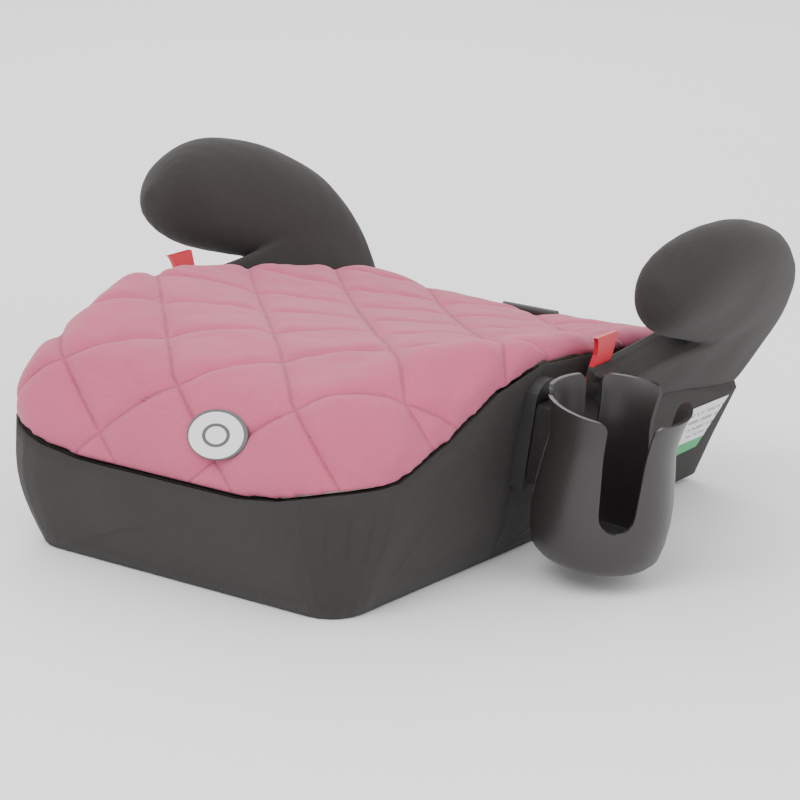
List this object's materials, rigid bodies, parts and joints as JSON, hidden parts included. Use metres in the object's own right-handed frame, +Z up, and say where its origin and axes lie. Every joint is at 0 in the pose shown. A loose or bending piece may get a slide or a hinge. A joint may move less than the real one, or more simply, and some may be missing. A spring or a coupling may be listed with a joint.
{
  "type": "booster seat",
  "caption": "Backless child's booster seat: quilted cushion over a moulded base, padded horn armrests, belt guides and a lift-off cup holder.",
  "frame": {"origin": "middle of the base's underside, at floor level", "axes": "+Z up, +Y towards the seat's back, +X towards the side with the cup holder"},
  "size_m": [0.4584, 0.3903, 0.1925],
  "materials": {
    "pink_fabric": "quilted woven cover",
    "charcoal_fabric": "plain woven cover",
    "seat_foam": "soft open-cell foam",
    "base_plastic": "moulded, finely textured",
    "cup_plastic": "moulded, satin",
    "red_plastic": "moulded, satin",
    "label_film": "printed film",
    "badge_rubber": "soft moulded patch",
    "screw_steel": "zinc plated",
    "elastic": "round cord"
  },
  "bodies": {
    "seat": {"armrest_core_left": "base_plastic", "armrest_core_right": "base_plastic", "armrest_foam_left": "seat_foam", "armrest_foam_right": "seat_foam", "armrest_screw_left_back": "screw_steel", "armrest_screw_left_front": "screw_steel", "armrest_screw_right_back": "screw_steel", "armrest_screw_right_front": "screw_steel", "armrest_sleeve_left": "charcoal_fabric", "armrest_sleeve_right": "charcoal_fabric", "badge_patch": "badge_rubber", "base_shell": "base_plastic", "belt_guide_left": "red_plastic", "belt_guide_right": "red_plastic", "cover_hook_back_left": "base_plastic", "cover_hook_back_right": "base_plastic", "cover_hook_front_left": "base_plastic", "cover_hook_front_right": "base_plastic", "cover_skirt": "charcoal_fabric", "cup_bracket": "base_plastic", "cup_bracket_screw_lower": "screw_steel", "cup_bracket_screw_upper": "screw_steel", "hem_elastic": "elastic", "label_sticker": "label_film", "rear_bar": "base_plastic", "rear_bar_screw_left": "screw_steel", "rear_bar_screw_right": "screw_steel", "seat_foam": "seat_foam", "seat_top_panel": "pink_fabric"},
    "cup": {"cup_holder": "cup_plastic"}
  },
  "joints": [
    {"name": "cup_lift", "type": "slide", "parent": "seat", "child": "cup", "axis": [0.1676, 0, 0.9859], "range_m": [0, 0.05]}
  ]
}
